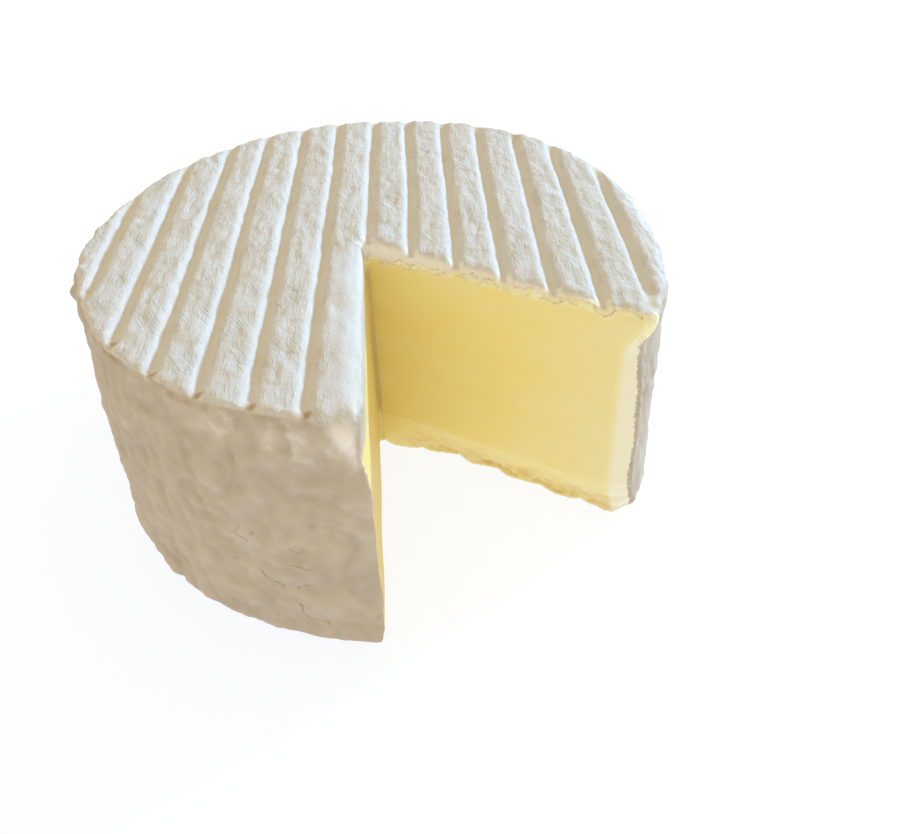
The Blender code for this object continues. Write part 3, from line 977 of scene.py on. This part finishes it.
def paste_colour(n):
    """Butter yellow in soft clouds, deeper on the torn crumbs, with painted shadow on the left-hand cut,
    painted shade in its creases and a pale facet at one end.
    """
    clouds = n.noise((25.0, 25.0, 14.0), 3.0)
    colour = n.blend(n.ramp(clouds, 0.35, 0.75), PASTE_YELLOW, PASTE_PALE)
    colour = n.blend(n.share("outer", 0.5), colour, PASTE_OUTER)
    crumbs = n.ramp(n.noise((3.0, 3.0, 2.4), 3.0), 0.4, 0.65, 0.35, 0.75)
    colour = n.blend(n.math("MULTIPLY", n.attribute("torn"), crumbs), colour, PASTE_DEEP_AND_SHADOW)
    # painted shadow: the left-hand cut is darkened as if the cut wedge still stood in front of it
    colour = n.blend(n.share("left_cut", 0.45), colour, PASTE_DEEP_AND_SHADOW)
    # painted shade in the crease over the torn foot and down the notch's corner
    colour = n.blend(n.share("crease", 0.8), colour, CREASE_SHADE)
    return n.blend(n.attribute("facet"), colour, FACET_CREAM)


def lip_colour(n, depth, colour):
    """Adds the creamy fringe of the rind's dragged edge and the fine broken lines of painted shadow beside
    it.
    """
    fringe = n.math("MULTIPLY", n.ramp(depth, -2.0, -0.5), n.ramp(depth, 0.4, 1.8, 1.0, 0.0))
    fringe = n.math("MULTIPLY", fringe, n.attribute("lip"))
    colour = n.blend(n.math("MULTIPLY", fringe, 0.95), colour, LIP_CREAM)
    # lines of painted shadow along the fringe
    for middle, size, share in LIP_SHADOW_LINES:
        rise = n.ramp(depth, middle - 0.3, middle)
        line = n.math("MULTIPLY", rise, n.ramp(depth, middle, middle + 0.4, 1.0, 0.0))
        broken = n.ramp(n.noise((size, size, size), 2.0), 0.42, 0.58, 0.0, share)
        line = n.math("MULTIPLY", n.math("MULTIPLY", line, broken), n.attribute("lip"))
        colour = n.blend(line, colour, LIP_SHADOW_LINE)
    return colour


def on_ridge(n):
    """1 on the ridges of the top face, and 0 in its grooves and on the pressed band."""
    in_groove = n.math("ADD", n.attribute("groove"), n.attribute("floor"))
    smooth = n.math("ADD", in_groove, n.attribute("pressed"))
    return n.math("MULTIPLY", n.attribute("top"), n.ramp(smooth, 0.1, 0.8, 1.0, 0.0))


def ridge_hairs(n):
    """Fine raised hairs of mould: along the grooves, and slanting across them in patches."""
    patches = n.ramp(n.noise((17.0, 17.0, 17.0), 1.0), 0.45, 0.58)
    slanting = n.ramp(n.noise((9.0, 0.7, 50.0), 1.0, -58.0), 0.59, 0.71, 0.0, 1.2)
    upright = n.ramp(n.noise((0.9, 5.0, 5.0), 2.0), 0.50, 0.70, 0.0, 0.55)
    return n.math("ADD", n.math("MULTIPLY", slanting, patches), upright)


def cheese_material():
    """Rind and paste in one surface, parted by a ragged line at the rind's own thickness."""
    n = Nodes("rind_and_paste")
    fray = n.noise((1.3, 1.3, 1.3), 4.0)
    depth = n.math("ADD", n.attribute("paste"), n.ramp(fray, 0.2, 0.8, -0.5, 0.5))
    in_paste = n.ramp(depth, -0.15, 0.15)
    colour = n.blend(in_paste, rind_colour(n), paste_colour(n))
    n.connect(lip_colour(n, depth, colour), n.shader.inputs["Base Color"])
    n.connect(n.ramp(in_paste, 0.0, 1.0, RIND_ROUGHNESS, PASTE_ROUGHNESS), n.shader.inputs["Roughness"])
    n.shader.inputs["Subsurface Weight"].default_value = SUBSURFACE_WEIGHT
    n.shader.inputs["Subsurface Radius"].default_value = SUBSURFACE_RADIUS
    n.shader.inputs["Subsurface Scale"].default_value = SUBSURFACE_SCALE * MM
    n.shader.inputs["Specular IOR Level"].default_value = SPECULAR_LEVEL
    rough = n.math("ADD", n.math("MULTIPLY", ridge_hairs(n), on_ridge(n)), n.noise((0.9, 0.9, 0.9), 3.0))
    rough = n.math("SUBTRACT", rough, crack_lines(n))
    height = n.math("MULTIPLY", rough, n.ramp(in_paste, 0.0, 1.0, 1.0, PASTE_BUMP))
    n.connect(n.bump(height, BUMP_STRENGTH, BUMP_HEIGHT * MM), n.shader.inputs["Normal"])
    return n.material


def floor_material():
    """A white studio floor that glows a little, so that it stays even and pale."""
    n = Nodes("pale_floor")
    n.shader.inputs["Base Color"].default_value = FLOOR_GREY
    n.shader.inputs["Roughness"].default_value = 0.9
    n.shader.inputs["Specular IOR Level"].default_value = 0.1
    n.shader.inputs["Emission Color"].default_value = FLOOR_GLOW
    n.shader.inputs["Emission Strength"].default_value = FLOOR_GLOW_STRENGTH
    return n.material


# The scene


def make_cheese():
    """The wheel in one piece, in place of the part's solid."""
    wheel = turned_body()
    wheel.name = "cheese"
    combine(wheel, grooved_block(), "INTERSECT")
    skin = surface_tree(wheel)
    combine(wheel, notch_solid(), "DIFFERENCE")
    even_faces(wheel)
    sculpt(wheel, skin)
    thin_faces(wheel)
    wheel.data.shade_smooth()
    wheel.data.materials.clear()
    wheel.data.materials.append(cheese_material())
    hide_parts("cheese_wheel")
    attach(wheel, "root")


def make_floor():
    """The studio floor under the wheel's foot."""
    mesh = bmesh.new()
    bmesh.ops.create_grid(mesh, x_segments=1, y_segments=1, size=FLOOR_REACH)
    floor = linked_object("floor", mesh)
    floor.location.z = cad_low.z
    floor.data.materials.append(floor_material())


def make_camera():
    """The photograph's view: looking down, with the optical centre above the picture's middle."""
    down, heading = math.radians(CAMERA_DOWN), math.radians(CAMERA_HEADING)
    level = math.cos(down)
    ahead = Vector((-math.sin(heading) * level, math.cos(heading) * level, -math.sin(down)))
    camera = bpy.data.objects.new("camera", bpy.data.cameras.new("camera"))
    bpy.context.scene.collection.objects.link(camera)
    turn = ahead.to_track_quat("-Z", "Y").to_matrix() @ Matrix.Rotation(math.radians(CAMERA_ROLL), 3, "Z")
    place = (Vector(CAMERA_TARGET) - ahead * CAMERA_DISTANCE) * MM
    camera.matrix_world = Matrix.Translation(place) @ turn.to_4x4()
    camera.data.sensor_fit = "HORIZONTAL"
    camera.data.sensor_width = SENSOR_WIDTH
    camera.data.lens = FOCAL_PIXELS / IMAGE_WIDTH * SENSOR_WIDTH
    camera.data.shift_x = (IMAGE_WIDTH / 2 - OPTICAL_CENTRE[0]) / IMAGE_WIDTH
    camera.data.shift_y = (OPTICAL_CENTRE[1] - IMAGE_HEIGHT / 2) / IMAGE_WIDTH
    camera.data.clip_start = 0.01
    bpy.context.scene.camera = camera


def area_light(name, azimuth, elevation, distance, size, power, colour):
    """A soft light that faces the wheel. Azimuth 0 is towards +X and 90 towards +Y."""
    turn, rise = math.radians(azimuth), math.radians(elevation)
    away = Vector((math.cos(turn) * math.cos(rise), math.sin(turn) * math.cos(rise), math.sin(rise)))
    lamp = bpy.data.lights.new(name, "AREA")
    lamp.shape = "DISK"
    lamp.size = size
    lamp.energy = power
    lamp.color = colour
    light = bpy.data.objects.new(name, lamp)
    bpy.context.scene.collection.objects.link(light)
    light.location = away * distance + Vector(LIGHT_TARGET)
    light.rotation_euler = away.to_track_quat("Z", "Y").to_euler()


def make_lights():
    """A cool light low on the right, against the warm light from all around."""
    area_light("key", **KEY_LIGHT)
    world = bpy.data.worlds.new("studio")
    bpy.context.scene.world = world
    world.use_nodes = True
    background = world.node_tree.nodes["Background"]
    background.inputs["Color"].default_value = SKY_COLOUR
    background.inputs["Strength"].default_value = SKY_STRENGTH
    bpy.context.scene.view_settings.view_transform = "Standard"


make_camera()
make_lights()
make_floor()
make_cheese()
